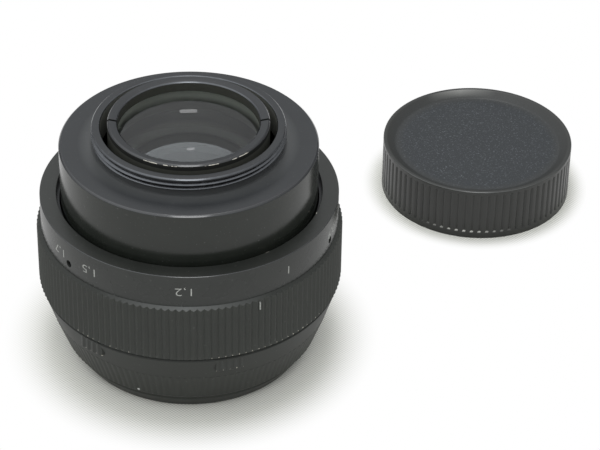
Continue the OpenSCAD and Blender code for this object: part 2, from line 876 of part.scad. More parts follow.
filter_ring();
main_barrel();
front_cell();
front_retaining_ring();
front_element();
triplet_retaining_ring();
front_triplet_crown();
front_triplet_filler();
front_triplet_flint();
iris_housing();
rear_cell();
rear_triplet_front();
rear_triplet_middle();
rear_triplet_rear();
rear_retaining_ring();
focus_retaining_ring();
guide_keys();
guide_key_screws();
helicoid_sleeve();
focus_grip_ring();
distance_scale_ring();
scale_set_screws();
mount_barrel();
mount_thread_ring();
mount_lock_screw();
aperture_ring();
aperture_drive_screw();
iris_drive_sleeve();
iris_rotor();
rotor_pin();
preset_ring();
preset_stop_screw();
iris_blade(0);  // iris_blade_1
iris_blade(1);  // iris_blade_2
iris_blade(2);  // iris_blade_3
iris_blade(3);  // iris_blade_4
iris_blade(4);  // iris_blade_5
iris_blade(5);  // iris_blade_6
iris_blade(6);  // iris_blade_7
rear_cap();
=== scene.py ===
import json
from math import asin, atan2, cos, degrees, hypot, inf, pi, radians, sin, sqrt

import bmesh
import bpy
from mathutils import Matrix, Vector


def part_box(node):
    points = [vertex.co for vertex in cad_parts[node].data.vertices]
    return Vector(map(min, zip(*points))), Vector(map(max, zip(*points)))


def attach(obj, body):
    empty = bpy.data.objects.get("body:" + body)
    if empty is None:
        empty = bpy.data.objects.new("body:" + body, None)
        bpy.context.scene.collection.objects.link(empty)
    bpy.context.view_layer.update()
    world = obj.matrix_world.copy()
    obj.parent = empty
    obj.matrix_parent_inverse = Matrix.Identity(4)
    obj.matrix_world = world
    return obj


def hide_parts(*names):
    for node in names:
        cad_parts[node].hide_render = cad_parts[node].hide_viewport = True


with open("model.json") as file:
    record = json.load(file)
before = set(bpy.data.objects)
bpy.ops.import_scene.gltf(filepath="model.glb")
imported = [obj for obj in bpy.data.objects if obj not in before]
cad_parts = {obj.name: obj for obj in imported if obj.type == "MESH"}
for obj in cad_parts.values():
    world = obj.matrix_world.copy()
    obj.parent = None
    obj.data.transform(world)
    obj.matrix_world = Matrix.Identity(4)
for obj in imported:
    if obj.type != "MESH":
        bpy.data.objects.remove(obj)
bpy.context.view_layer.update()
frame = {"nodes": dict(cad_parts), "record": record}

# All sizes below are millimetres in the frame of the solids, and pieces are scaled to metres when they are done.
MM = 0.001

# Steps round a turned piece, the angle from which an edge is sharp, the distance within which points are merged,
# the margins in picking points and faces by their place, and how far a cutting tool stands out
ROUND = 288
CREASE = radians(14)
WELD = 1e-4
NEAR = 0.01
SKIN = 0.1
OVERCUT = 1

# Rise of a face's normal on upright walls and on bevels, and how far a bevel has to look outwards
WALL_RISE = 0.2
BEVEL_RISE = (0.3, 0.95)
BEVEL_OUT = 0.2


def reach(node):
    """Radius, lowest and highest height of a round node."""
    low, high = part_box(node)
    return (high.x - low.x) / 2 / MM, low.z / MM, high.z / MM


RIM_R, _, RIM_END = reach("filter_ring")
APERTURE_R, APERTURE_Z, SKIRT_END = reach("aperture_ring")
PAD_R, _, PRESET_END = reach("preset_ring")
GRIP_R, GRIP_Z, SCALE_Z = reach("focus_grip_ring")
SCALE_R, _, SCALE_END = reach("distance_scale_ring")
MOUNT_R, MOUNT_FRONT, FLANGE_Z = reach("mount_barrel")
THREAD_R, PLATE_Z, THREAD_END = reach("mount_thread_ring")
RING_R, RING_FOOT, REAR_END = reach("rear_retaining_ring")
CAP_R, _, CAP_H = reach("rear_cap")
cap_low, cap_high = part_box("rear_cap")
CAP_AXIS = (cap_low + cap_high) / 2 / MM

# Camera of the photograph: place in millimetres, tilt, roll and focal length in pixels of its width
CAMERA_PLACE = (24.19, -461.55, 364.69)
CAMERA_TILT = 35.89
CAMERA_ROLL = 1.03
FOCAL_PX = 2592.29
IMAGE_W = 600
SENSOR_W = 36

# Walls and edges that the solids share, and the play of a ring or screw in its seat
EDGE = 0.4
SEAT = 0.03
RING_BORE = 30.23
MOUNT_BORE = 25.6
SKIRT_R = 28.2
SKIRT_BORE = 26.7
APERTURE_END = 12.15
APERTURE_FRONT_R = 28.6
LEDGE_LOOP = 2
LEDGE_GAP = 0.02
PRESET_FRONT_R = 31.15
PRESET_REAR_R = 33
PRESET_BORE = 28.5
HOOD_BORE = 29.8
FILTER_R = 24.5
RIM_FRONT_R = 25.6
RIM_LAND = 1

# Lip of the scale ring, and how far its chips reach from the inner corner
LIP_BORE = 28.9
LIP_T = 1.7
LIP_EDGE = 0.12
LIP_TOP = 0.35
LIP_CORNER = 0.2

# Mount thread: ring, ridge, and the plain land at its rear end
THREAD_BORE = 19
THREAD_DEPTH = 0.6
THREAD_PITCH = 1
THREAD_START = 130
THREAD_EDGE = 0.3
THREAD_RUB = 1
LAND_CUT = 0.1
BORE_EDGE = 0.2
RELIEF = 1.4
RIDGE_HALF = 0.45 * THREAD_PITCH
RIDGE_SUNK = 0.1
CREST_HALF = 0.06
RUN_OUT = THREAD_PITCH / 3

# Knurls: steps round each tooth, the flat share of its crest, and the share of its depth where the foot of a groove
# starts. Then the focusing knurl, the fine knurl of the aperture ring, and the pads of the preset ring
TOOTH_STEPS = 8
TOOTH_FLAT = 0.12
GROOVE_FOOT = 0.9
GRIP_TEETH = 138
TOOTH_DEPTH = 0.44
GRIP_EDGE = 0.3
GRIP_FOOT = 0.55
GRIP_BEVEL = 0.55
GRIP_BROW = 0.12
FINE_TEETH = 132
FINE_DEPTH = 0.12
FINE_EDGE = 0.03
PAD_TEETH = 5
PAD_DEPTH = 0.2
PAD_LEN = 3.5
PAD_EDGE = 0.2
PAD_LOOP = 0.6
PAD_SUNK = 0.4
PAD_END = 0.05
PAD_DIRS = [231.8, 287.4, 51.8, 107.4]

# Rear cap: side grooves, the land between them and the share of their depth that takes a painted glint, then rim,
# sunk top and bore
CAP_RIBS = 78
CAP_GROOVE = 0.28
CAP_LAND = 0.6
CAP_GLINT_DEPTH = 0.35
CAP_FOOT = 1.5
CAP_BROW = 0.9
CAP_RIM = 0.8
CAP_EDGE = 0.35
CAP_SLOPE = 2.2
CAP_RECESS = 1.4
CAP_BORE = 21.2
CAP_FLOOR = 1.3
CAP_FADE = 2

# Distance scale: focal length, helicoid lead and the direction of the infinity mark
FOCAL = 85
LEAD = 15
FAR_DIR = -168.7 - 90
FIGURE_Z = SCALE_Z + 3.9
FIGURE_H = 2.05
FIGURE_STRETCH = 1.3
FIGURES = [("0,8", 800), ("0,9", 900), ("1", 1000), ("1,2", 1200), ("1,5", 1500), ("1,7", 1700), ("2", 2000),
           ("2,5", 2500), ("3", 3000), ("4", 4000), ("6", 6000), ("10", 10000), ("∞", inf)]

# Mark on the focusing knurl: direction, inner and outer radius, lower and upper height, and width
GRIP_MARK = (-61.1, GRIP_R - 0.5, GRIP_R, SCALE_Z - 2.9, SCALE_Z - 1, 0.2)

# Engraving: size of the font for figures 1 high, how much thinner its strokes are, how far the paint goes in and
# stands out, and the height of a round drop of paint as a share of its width
FONT_SIZE = 1.4
STROKE_CUT = 0.02
PAINT_IN = 0.3
PAINT_OUT = 0.02
DROP_RISE = 0.25

# Depth scale on the mount: f-numbers, degrees for each of them, and its lines
SMALL_FIGURE_H = 1.3
INDEX_Z = SCALE_END + 0.5
INDEX_LEN = 3
INDEX_W = 0.35
DEPTH_STOPS = [4, 8, 16]
DEPTH_TURN = 1.2
DEPTH_LEN = 1.5
DEPTH_W = 0.22

# Iris: f-numbers on the preset ring, half the hole's width times f-number, and the open iris
STOPS = [2, 2.8, 4, 5.6, 8, 11]
STOP_DIR = 65
STOP_Z = 13.8
OPEN_HOLE = 24.8
IRIS_R = 12.8
IRIS_PIVOT_R = 17

# Paint dots of the aperture ring: direction, distance from the axis, height and radius
APERTURE_DOT = (-110.7, 28.8, 5.5, 0.3)
STOP_INDEX = (STOP_DIR, 30.6, 10.5, 0.5)

# Screws without heads: places, and how far the seat and the screw stay off the inner wall
SET_SCREW_DIRS = [100.6, 220.6, 340.6]
SET_SCREW_Z = SCALE_Z + 2.2
SET_SCREW_R = 0.8
SET_SCREW_SUNK = 0.5
LOCK_DIR = 130
LOCK_Z = PLATE_Z + 1
LOCK_SCREW_R = 0.7
LOCK_SCREW_SUNK = 0.4
SCREW_SEAT = 0.5
SCREW_FOOT = 0.55
SCREW_SLOT_DEPTH = 0.4
SCREW_SLOT_HALF = 0.15

# Ring that holds the rear glass, and the glass
RING_BORE_R = 15.25
RING_THREAD_R = 16.62
RING_HEAD = 1.4
RING_SLOPE = 0.45
CHAMFER_W = 0.25
CHAMFER_UP = 0.1
CHAMFER_DOWN = 0.15
SPANNER_W = 0.6
SPANNER_DEPTH = 1
SPANNER_DIR = 2.3
RING_WORN_IN = 0.15
RING_WORN_DOWN = 0.06
GLASS_ROWS = 14
REAR_FRONT_R = 150
REAR_STEP = 1.4
REAR_FACE_R = 180
CROWN_FACE_R = 36
HOLLOW_R = 13.4
HOLLOW_FACE_R = 22
FIRST_FACE_R = 52
FIRST_REAR_R = 180

# Where the paint beside the rear glass changes: how far inside its ring the cell's grey, painted light in the gap
# round the ring, starts and is full, and how far below the top of the glass its rim starts to lose its paint and is
# bare
CELL_GREY = (0.4, 0.2)
RIM_BARE = (8, 4)

# Cotton under the object: thread spacing, and how far the shadows of the lens and the cap reach from their axes
THREAD_SPACING = 0.8
LENS_SHADOW = (30, 43)
CAP_SHADOW = (23, 28)

# Pale grey of dust, which also paints light: its colour, its share at the foot of a groove, and how many times as
# much is painted round the foot of the mount thread, as painted light in the shade there, and how far it reaches
DUST_AND_PAINTED_LIGHT = "#8d8f8e"
PALE_SHARE = 0.06
THREAD_BASE_LIGHT = 3
FLANGE_FOOT_LIGHT = 4
NEAR_THREAD_LIGHT = 2.2
NEAR_LIGHT_WIDTH = 1.2
FLANGE_LIGHT_WIDTH = 3

# Worn places, and places of painted glints, highlight and sheen, as degrees to the right of the front: ranges, or a
# middle and a spread. Ring and lip: wear. Knurl: painted glints and a painted highlight. Cap: painted glints and a
# painted sheen
RING_WEAR = [(-30, -19), (-16, -4), (13, 24), (33, 50), (99, 110), (134, 138)]
KNURL_GLINTS = [(-45, -20), (9, 62)]
LIP_WEAR = [(36.2, 38), (56.8, 57.7), (72, 73), (78.6, 79.4)]
KNURL_HIGHLIGHT = (1, 34)
CAP_GLINTS = (-8, 30)
CAP_SHEEN = (-171, 24)

# How strong the wear, the painted glints, the painted highlight and the painted sheen are there
RING_CHIPS = 1
KNURL_GLINT_STRENGTH = 1.5
LIP_CHIPS = 1.1
KNURL_HIGHLIGHT_STRENGTH = 7
CAP_SHEEN_STRENGTH = 0.22


def linear(colour):
    """Linear RGBA of an sRGB hex colour."""
    channels = [int(colour[i:i + 2], 16) / 255 for i in (1, 3, 5)]
    return [c / 12.92 if c <= 0.04045 else ((c + 0.055) / 1.055) ** 2.4 for c in channels] + [1]


def feed(owner, node, links):
    """Link a node's inputs to other nodes, or set them."""
    for socket, value in links.items():
        if isinstance(value, bpy.types.NodeSocket):
            owner.node_tree.links.new(value, node.inputs[socket])
        else:
            node.inputs[socket].default_value = value


def add(owner, kind, links=None, **settings):
    """Add a node to a material or the world, with its settings and inputs."""
    node = owner.node_tree.nodes.new(kind)
    for name, value in settings.items():
        setattr(node, name, value)
    feed(owner, node, links or {})
    return node


def new_material(name):
    """New material, and the place of a point in the object's own coordinates."""
    material = bpy.data.materials.new(name)
    material.use_nodes = True
    return material, add(material, "ShaderNodeTexCoord").outputs["Object"]


def shade(material, links):
    """Link or set the inputs of a material's shader."""
    feed(material, material.node_tree.nodes["Principled BSDF"], links)
    return material


def noise(material, place, size, detail=3):
    """Noise with marks of about the given size."""
    links = {"Vector": place, "Scale": 1 / (size * MM), "Detail": detail}
    return add(material, "ShaderNodeTexNoise", links).outputs["Fac"]


def spread(owner, value, low, high, start=0, end=1):
    """Map a value between low and high to one between start and end."""
    return add(owner, "ShaderNodeMapRange", {0: value, 1: low, 2: high, 3: start, 4: end}).outputs[0]


def combine(owner, operation, first, second):
    return add(owner, "ShaderNodeMath", {0: first, 1: second}, operation=operation).outputs[0]


def blend(material, share, *colours):
    """Mix of two colours, each an sRGB hex colour or the output of a node, by the share of the second."""
    first, second = [linear(colour) if isinstance(colour, str) else colour for colour in colours]
    return add(material, "ShaderNodeMix", {0: share, 6: first, 7: second}, data_type="RGBA").outputs[2]


def painted(material, name):
    """Value of a mesh attribute, or 0 where a mesh has none of that name."""
    return add(material, "ShaderNodeAttribute", attribute_name=name).outputs["Fac"]


def height_of(material, place):
    return add(material, "ShaderNodeSeparateXYZ", {0: place}).outputs["Z"]


def from_axis(material, place):
    """Distance from the optical axis."""
    flat = add(material, "ShaderNodeVectorMath", {0: place, 1: (1, 1, 0)}, operation="MULTIPLY")
    return add(material, "ShaderNodeVectorMath", {0: flat.outputs[0]}, operation="LENGTH").outputs["Value"]


def anodised(name, colour, pale_colour, roughness, index):
    """Black anodised aluminium, turned on a lathe: a dark satin film, broken up by fine turning lines, a little dust,
    and bare metal where the film has come off. A pale grey set by a mesh attribute stands for dust at the foot of
    a knurl's grooves, which also lifts their shade, and for painted light round the foot of the mount thread and on
    the front of the knurl's bevel. Near-white paint set by another attribute stands for glints at the front ends of
    knurl grooves."""
    material, place = new_material(name)
    across = combine(material, "ADD", from_axis(material, place), height_of(material, place))
    lines = add(material, "ShaderNodeTexNoise", {"W": across, "Scale": 1 / (0.25 * MM), "Detail": 2},
                noise_dimensions="1D")
    bump = add(material, "ShaderNodeBump", {"Strength": 0.1, "Distance": 0.01 * MM, "Height": lines.outputs["Fac"]})
    cloud = noise(material, place, 6, 4)
    film = blend(material, cloud, colour, pale_colour)
    specks = spread(material, noise(material, place, 0.5, 2), 0.68, 0.75, 0, 0.16)
    dusty = blend(material, specks, film, DUST_AND_PAINTED_LIGHT)
    # Pale grey: dust at the foot of knurl grooves, and painted light at the thread's foot and the knurl's front bevel
    pale_mix = combine(material, "MULTIPLY", painted(material, "groove"), PALE_SHARE)
    dusted_and_lit = blend(material, pale_mix, dusty, DUST_AND_PAINTED_LIGHT)
    # Bare metal where the film has come off, and near-white paint as glints at the front ends of knurl grooves
    flakes = combine(material, "MULTIPLY", painted(material, "chips_and_glints"), noise(material, place, 0.7))
    bare = blend(material, spread(material, flakes, 0.42, 0.5), dusted_and_lit, "#d9d4c8")
    shine = spread(material, cloud, 0, 1, roughness - 0.05, roughness + 0.07)
    return shade(material, {"Base Color": bare, "Roughness": shine, "Normal": bump.outputs[0], "IOR": index})


def rubbed_edge():
    """Anodised edge that handling has thinned: the metal underneath shows as a grey gleam with darker patches."""
    material, place = new_material("anodised_edge_rubbed")
    patches = noise(material, place, 2, 4)
    tone = blend(material, patches, "#525457", "#6e7073")
    shine = spread(material, patches, 0, 1, 0.2, 0.32)
    return shade(material, {"Base Color": tone, "Roughness": shine, "Metallic": 1})


def engraving_paint():
    """White cellulose paint rubbed into an engraving: matt, a little grey, and uneven from cleaning."""
    material, place = new_material("engraving_paint")
    tone = blend(material, noise(material, place, 0.4), "#c4c5c2", "#8e908d")
    return shade(material, {"Base Color": tone, "Roughness": 0.7})


def coated_glass(name, index):
    """Polished optical glass with a single coating: clear, with a trace of haze and a faint cool reflection, which is
    stronger on dense glass."""
    material, place = new_material(name)
    haze = spread(material, noise(material, place, 2.5), 0.55, 0.8, 0, 0.015)
    return shade(material, {"Base Color": linear("#eef5f7"), "Roughness": haze, "IOR": index,
                            "Transmission Weight": 1})


def lacquer(name, dark, pale):
    """Flat lacquer on inner faces, which stops stray light: dull and slightly uneven. Its paler copies paint light
    on the bores of the glass ring and the thread ring, and its black one paints shade on the glass ring's outer wall.
    """
    material, place = new_material(name)
    tone = blend(material, noise(material, place, 1.1), dark, pale)
    return shade(material, {"Base Color": tone, "Roughness": 0.7, "IOR": 1.3})


def cell_paint():
    """Paint of the rear cell: black inside, and dull grey outside, where it shows beside the glass: painted light that
    lifts the shade of the gap there.
    """
    material, place = new_material("cell_paint")
    start, full = [(RING_R - inwards) * MM for inwards in CELL_GREY]
    outside = spread(material, from_axis(material, place), start, full)
    grey = blend(material, noise(material, place, 1.1), "#3a3b36", "#464741")
    return shade(material, {"Base Color": blend(material, outside, "#121311", grey), "Roughness": 0.6})


def ground_rim():
    """Ground edge of the rear glass: its black paint has come off towards the rear, so that it looks grey there."""
    material, place = new_material("ground_glass_rim")
    start, full = [(reach("rear_triplet_rear")[2] - down) * MM for down in RIM_BARE]
    bare = spread(material, height_of(material, place), start, full)
    pale = blend(material, noise(material, place, 1.1), "#b0b1a6", "#c0c1b6")
    return shade(material, {"Base Color": blend(material, bare, "#454640", pale), "Roughness": 0.8})


def steel(name, colour, roughness):
    """Turned or rolled steel: a metal with faint darker and paler flecks."""
    material, place = new_material(name)
    tone = blend(material, noise(material, place, 0.3), colour, "#4c4c4e")
    return shade(material, {"Base Color": tone, "Roughness": roughness, "Metallic": 1})


def phenolic():
    """Moulded black phenolic of the cap: soft sheen, a sand-like grain on the sunk top with pale specks of dust, and
    near-white paint that stands for glints at the lower ends of some grooves and for a sheen on the back of the rim's
    slope: painted highlights."""
    material, place = new_material("moulded_phenolic")
    grain = noise(material, place, 0.38)
    cloud = noise(material, place, 6.67)
    sunk = painted(material, "grained")
    plain = blend(material, cloud, "#262725", "#2f302e")
    cool = blend(material, combine(material, "MULTIPLY", sunk, 0.8), plain, "#1b2126")
    specks = spread(material, grain, 0.57, 0.74, 0, 0.34)
    dusty = blend(material, combine(material, "MULTIPLY", specks, sunk), cool, "#858a90")
    # Near-white paint: painted glints at the ends of grooves, and a painted sheen on the rim's slope
    tone = blend(material, painted(material, "painted_glint_and_sheen"), dusty, "#f2f2ec")
    sand = combine(material, "MULTIPLY", grain, sunk)
    bump = add(material, "ShaderNodeBump", {"Strength": 0.6, "Distance": 0.12 * MM, "Height": sand})
    shine = spread(material, cloud, 0, 1, 0.3, 0.42)
    return shade(material, {"Base Color": tone, "Roughness": shine, "Normal": bump.outputs[0], "IOR": 1.45})


def phenolic_edge():
    """Outer edge of the cap, polished by handling: it shows as a thin bright line."""
    material, place = new_material("moulded_phenolic_polished")
    tone = blend(material, noise(material, place, 3), "#3a3b3a", "#565856")
    return shade(material, {"Base Color": tone, "Roughness": 0.22, "IOR": 1.6})


def sag(radius, r):
    """Depth of a spherical face at a distance from the axis."""
    return radius - sqrt(radius * radius - r * r)


def turned(corners, steps=ROUND):
    """Turn a closed half section round the axis. Each corner is a radius, a height and a rounding."""
    bm = bmesh.new()
    verts = [bm.verts.new((r, 0, z)) for r, z, _ in corners]
    bm.faces.new(verts)
    for vert, (_, _, rounding) in zip(verts, corners):
        if rounding:
            bmesh.ops.bevel(bm, geom=[vert], offset=rounding, offset_type="OFFSET", affect="VERTICES", segments=3,
                            profile=0.5, material=-1)
    bmesh.ops.delete(bm, geom=bm.faces[:], context="FACES_ONLY")
    bmesh.ops.spin(bm, geom=bm.verts[:] + bm.edges[:], cent=(0, 0, 0), axis=(0, 0, 1), angle=2 * pi, steps=steps,
                   use_merge=True)
    bmesh.ops.remove_doubles(bm, verts=bm.verts[:], dist=WELD)
    bmesh.ops.recalc_face_normals(bm, faces=bm.faces[:])
    return bm


def joined(bm, other):
    """Add another shape to bm."""
    mesh = bpy.data.meshes.new("joining")
    other.to_mesh(mesh)
    other.free()
    bm.from_mesh(mesh)
    bpy.data.meshes.remove(mesh)
    return bm


def carved(bm, tool):
    """Cut a closed tool out of a closed shape."""
    shapes = []
    for shape in (bm, tool):
        mesh = bpy.data.meshes.new("carving")
        shape.to_mesh(mesh)
        shape.free()
        shapes.append(bpy.data.objects.new("carving", mesh))
        bpy.context.scene.collection.objects.link(shapes[-1])
    cut = shapes[0].modifiers.new("cut", "BOOLEAN")
    cut.object = shapes[1]
    cut.solver = "EXACT"
    done = bmesh.new()
    done.from_object(shapes[0], bpy.context.evaluated_depsgraph_get())
    for shape in shapes:
        bpy.data.meshes.remove(shape.data)
    return done


def out_along(direction, r, z):
    """Matrix that takes local X out along a radius to the given radius and height."""
    return Matrix.Rotation(radians(direction), 4, "Z") @ Matrix.Translation((r, 0, z))


def rod(direction, r_in, r_out, z, radius):
    """Closed cylinder that lies along a radius."""
    bm = bmesh.new()
    lie = Matrix.Rotation(pi / 2, 4, "Y")
    bmesh.ops.create_cone(bm, cap_ends=True, segments=32, radius1=radius, radius2=radius, depth=r_out - r_in,
                          matrix=out_along(direction, (r_in + r_out) / 2, z) @ lie)
    return bm


def block(direction, r_in, r_out, z_low, z_high, width):
    """Box that lies along a radius."""
    bm = bmesh.new()
    size = Matrix.Diagonal((r_out - r_in, width, z_high - z_low, 1))
    bmesh.ops.create_cube(bm, size=1, matrix=out_along(direction, (r_in + r_out) / 2, (z_low + z_high) / 2) @ size)
    return bm


def piece(bm, name, body, finishes, slot, *nodes):
    """Make a finished shape a piece that rides on a body and stands for the given solids. Each face takes the finish
    of its material index."""
    mesh = bpy.data.meshes.new(name)
    bm.transform(Matrix.Scale(MM, 4))
    bm.to_mesh(mesh)
    bm.free()
    mesh.shade_smooth()
    mesh.set_sharp_from_angle(angle=CREASE)
    for finish in finishes:
        mesh.materials.append(finish)
    obj = bpy.data.objects.new(name, mesh)
    bpy.context.scene.collection.objects.link(obj)
    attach(obj, body)
    if nodes:
        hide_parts(*nodes)
    return obj


def axis_gap(point):
    """Distance of a point from the axis."""
    return hypot(point.x, point.y)


def tooth(point, teeth, shift=0):
    """Depth between the teeth of a knurl at a point's direction: 0 on a crest and 1 at the foot of its V."""
    phase = (atan2(point.y, point.x) / (2 * pi) * teeth + shift) % 1
    return max(0, 2 * min(phase, 1 - phase) - TOOTH_FLAT) / (1 - TOOTH_FLAT)


def set_radius(vert, radius):
    factor = radius / axis_gap(vert.co)
    vert.co.x *= factor
    vert.co.y *= factor


def finish_bevels(bm, index, low, high, r_low=0, side=1):
    """Give a finish to the bevels between two heights that look to the rear and outwards, or inwards with side -1."""
    bm.normal_update()
    for face in bm.faces:
        spot = face.calc_center_median()
        out = (face.normal.x * spot.x + face.normal.y * spot.y) / axis_gap(spot)
        slanted = BEVEL_RISE[0] < face.normal.z < BEVEL_RISE[1] and side * out > BEVEL_OUT
        if slanted and low < spot.z < high and axis_gap(spot) > r_low:
            face.material_index = index


def finish_walls(bm, index, r_low=0, r_high=inf):
    """Give a finish to the upright walls of a turned shape between two radii."""
    bm.normal_update()
    for face in bm.faces:
        if abs(face.normal.z) < WALL_RISE and r_low < axis_gap(face.calc_center_median()) < r_high:
            face.material_index = index


def turn_right(point):
    """Direction of a point from the front, in degrees to the right."""
    return degrees(atan2(point.x, -point.y))


def near_to(point, direction, width):
    """How near a point is to a direction: 1 in that direction, falling to 0 at the given width from it."""
    away = abs((turn_right(point) - direction + 180) % 360 - 180)
    return max(0, 1 - away / width)


def within(point, ranges):
    """Whether a point's direction is in one of the ranges."""
    return any(low <= turn_right(point) <= high for low, high in ranges)


def focus_knurl(*finishes):
    """Broad straight knurl. Its bevel at the rear cuts the teeth off in a zigzag line, painted pale in front as a
    painted highlight. Near-white paint at the front ends of some grooves stands for glints, and the feet of the
    grooves are paler with dust, which also lifts their shade."""
    rise = GRIP_BEVEL / (GRIP_R - SCALE_R)
    foot = GRIP_Z + GRIP_FOOT
    brow = SCALE_Z - GRIP_BEVEL
    bm = turned([
        (RING_BORE, GRIP_Z, 0), (GRIP_R - GRIP_EDGE, GRIP_Z, 0), (GRIP_R, GRIP_Z + GRIP_EDGE, 0), (GRIP_R, foot, 0),
        (GRIP_R, brow - GRIP_BROW, 0), (GRIP_R, brow, 0), (SCALE_R, SCALE_Z, 0), (RING_BORE, SCALE_Z, 0)
    ], GRIP_TEETH * TOOTH_STEPS)
    chips_and_glints = bm.verts.layers.float.new("chips_and_glints")
    groove = bm.verts.layers.float.new("groove")
    for vert in bm.verts:
        r, z = axis_gap(vert.co), vert.co.z
        share = tooth(vert.co, GRIP_TEETH)
        depth = TOOTH_DEPTH * share
        if r > SCALE_R + NEAR:
            set_radius(vert, min(r, GRIP_R - depth))
            # Paler at the foot of each groove: dust, which also lifts the groove's shade
            vert[groove] = share
            if z < foot - NEAR:
                # Painted glints: near-white at the front ends of some grooves
                vert[chips_and_glints] = KNURL_GLINT_STRENGTH if share > GROOVE_FOOT and within(vert.co, KNURL_GLINTS) else 0
                vert.co.z = max(GRIP_Z, z - depth)
            elif z > brow - GRIP_BROW - NEAR:
                vert.co.z = z + depth * rise
        if r > SCALE_R - NEAR and z > brow - NEAR:
            # Painted highlight: the front of the bevel is painted paler
            vert[groove] = KNURL_HIGHLIGHT_STRENGTH * near_to(vert.co, *KNURL_HIGHLIGHT)
    bmesh.ops.remove_doubles(bm, verts=bm.verts[:], dist=WELD)
    return piece(bm, "focus_knurl", "focus", finishes, "black_anodised", "focus_grip_ring")


def scale_band(*finishes):
    """Smooth band for the distance figures, with a lip towards the mount and a hole for each set screw. Finishes: the
    band, the lip's outer edge and the lip's rear face, which is darker as painted shade."""
    bm = turned([
        (RING_BORE, SCALE_Z, 0), (SCALE_R, SCALE_Z, 0), (SCALE_R, SCALE_END - LIP_EDGE, 0.03),
        (SCALE_R - LIP_EDGE, SCALE_END, 0.03), (LIP_BORE + LIP_TOP, SCALE_END, 0), (LIP_BORE, SCALE_END, 0.15),
        (LIP_BORE, SCALE_END - LIP_T, 0.05), (RING_BORE, SCALE_END - LIP_T, 0)
    ])
    for direction in SET_SCREW_DIRS:
        hole = rod(direction, RING_BORE + SCREW_SEAT, SCALE_R + OVERCUT, SET_SCREW_Z, SET_SCREW_R + SEAT)
        bm = carved(bm, hole)
    chips_and_glints = bm.verts.layers.float.new("chips_and_glints")
    for vert in bm.verts:
        inside = axis_gap(vert.co) < LIP_BORE + LIP_CORNER and vert.co.z > SCALE_END - LIP_CORNER
        vert[chips_and_glints] = LIP_CHIPS if inside and within(vert.co, LIP_WEAR) else 0
    finish_bevels(bm, 1, SCALE_END - LIP_EDGE, SCALE_END)
    # The lip's rear face takes a darker finish, as painted shade at the foot of the mount barrel
    for face in bm.faces:
        if face.normal.z > BEVEL_RISE[1] and face.calc_center_median().z > SCALE_END - SKIN:
            face.material_index = 2
    return piece(bm, "scale_band", "focus", finishes, "black_anodised", "distance_scale_ring")


def slotted_screw(direction, r_in, r_out, z, radius):
    """Headless screw with a slot across its outer end."""
    slot = block(direction, r_out - SCREW_SLOT_DEPTH, r_out + OVERCUT, z - SCREW_SLOT_HALF, z + SCREW_SLOT_HALF,
                 4 * radius)
    return carved(rod(direction, r_in, r_out, z, radius), slot)


def set_screws(*finishes):
    bm = bmesh.new()
    for direction in SET_SCREW_DIRS:
        joined(bm, slotted_screw(direction, RING_BORE + SCREW_FOOT, SCALE_R - SET_SCREW_SUNK, SET_SCREW_Z, SET_SCREW_R))
    return piece(bm, "set_screws", "focus", finishes, "screw_steel", "scale_set_screws")


def mount_sleeve(*finishes):
    """Mount barrel with its flange, painted paler round the foot of the thread as painted light in the shade there, and
    the hole of the screw that locks the thread ring. Finishes: the flange, its outer edge and the outer wall."""
    bm = turned([
        (MOUNT_BORE, MOUNT_FRONT, 0), (MOUNT_R, MOUNT_FRONT, 0), (MOUNT_R, FLANGE_Z - EDGE, 0.08),
        (MOUNT_R - EDGE, FLANGE_Z, 0.08), (THREAD_R + FLANGE_LIGHT_WIDTH, FLANGE_Z, 0), (THREAD_R + NEAR_LIGHT_WIDTH, FLANGE_Z, 0),
        (THREAD_R + SEAT, FLANGE_Z, 0), (THREAD_R + SEAT, PLATE_Z, 0), (MOUNT_BORE, PLATE_Z, 0)
    ])
    bm = carved(bm, rod(LOCK_DIR, THREAD_R + SCREW_SEAT, MOUNT_R + OVERCUT, LOCK_Z, LOCK_SCREW_R + SEAT))
    # Painted light: the flange is painted paler round the foot of the thread ring, where it lies in shade
    groove = bm.verts.layers.float.new("groove")
    for vert in bm.verts:
        if vert.co.z > FLANGE_Z - NEAR:
            gap = axis_gap(vert.co) - THREAD_R
            vert[groove] = FLANGE_FOOT_LIGHT if gap < SKIN else NEAR_THREAD_LIGHT if gap < NEAR_LIGHT_WIDTH + SKIN else 0
    finish_bevels(bm, 1, FLANGE_Z - EDGE + SKIN, FLANGE_Z)
    finish_walls(bm, 2, MOUNT_R - SKIN)
    return piece(bm, "mount_sleeve", "mount", finishes, "satin_anodised", "mount_barrel")


def lock_screw(*finishes):
    bm = slotted_screw(LOCK_DIR, THREAD_R + SCREW_FOOT, MOUNT_R - LOCK_SCREW_SUNK, LOCK_Z, LOCK_SCREW_R)
    return piece(bm, "lock_screw", "mount", finishes, "screw_steel", "mount_lock_screw")


def helix_ridge(root, crest, low, high):
    """Thread ridge that winds round the axis and runs out at both ends."""
    bm = bmesh.new()
    sunk = root - RIDGE_SUNK
    section = [(sunk, -RIDGE_HALF), (root, -RIDGE_HALF), (crest, -CREST_HALF), (crest, CREST_HALF), (root, RIDGE_HALF),
               (sunk, RIDGE_HALF)]
    bm.faces.new([bm.verts.new((r, 0, low + z)) for r, z in section])
    turns = (high - low) / THREAD_PITCH
    bmesh.ops.spin(bm, geom=bm.verts[:] + bm.edges[:] + bm.faces[:], cent=(0, 0, 0), axis=(0, 0, 1),
                   dvec=(0, 0, THREAD_PITCH / ROUND), angle=2 * pi * turns, steps=int(ROUND * turns))
    for vert in bm.verts:
        r = axis_gap(vert.co)
        room = min(vert.co.z - low, high - vert.co.z) / RUN_OUT
        if r > root + NEAR and room < 1:
            set_radius(vert, root + (r - root) * max(0, room))
    bmesh.ops.recalc_face_normals(bm, faces=bm.faces[:])
    return bm


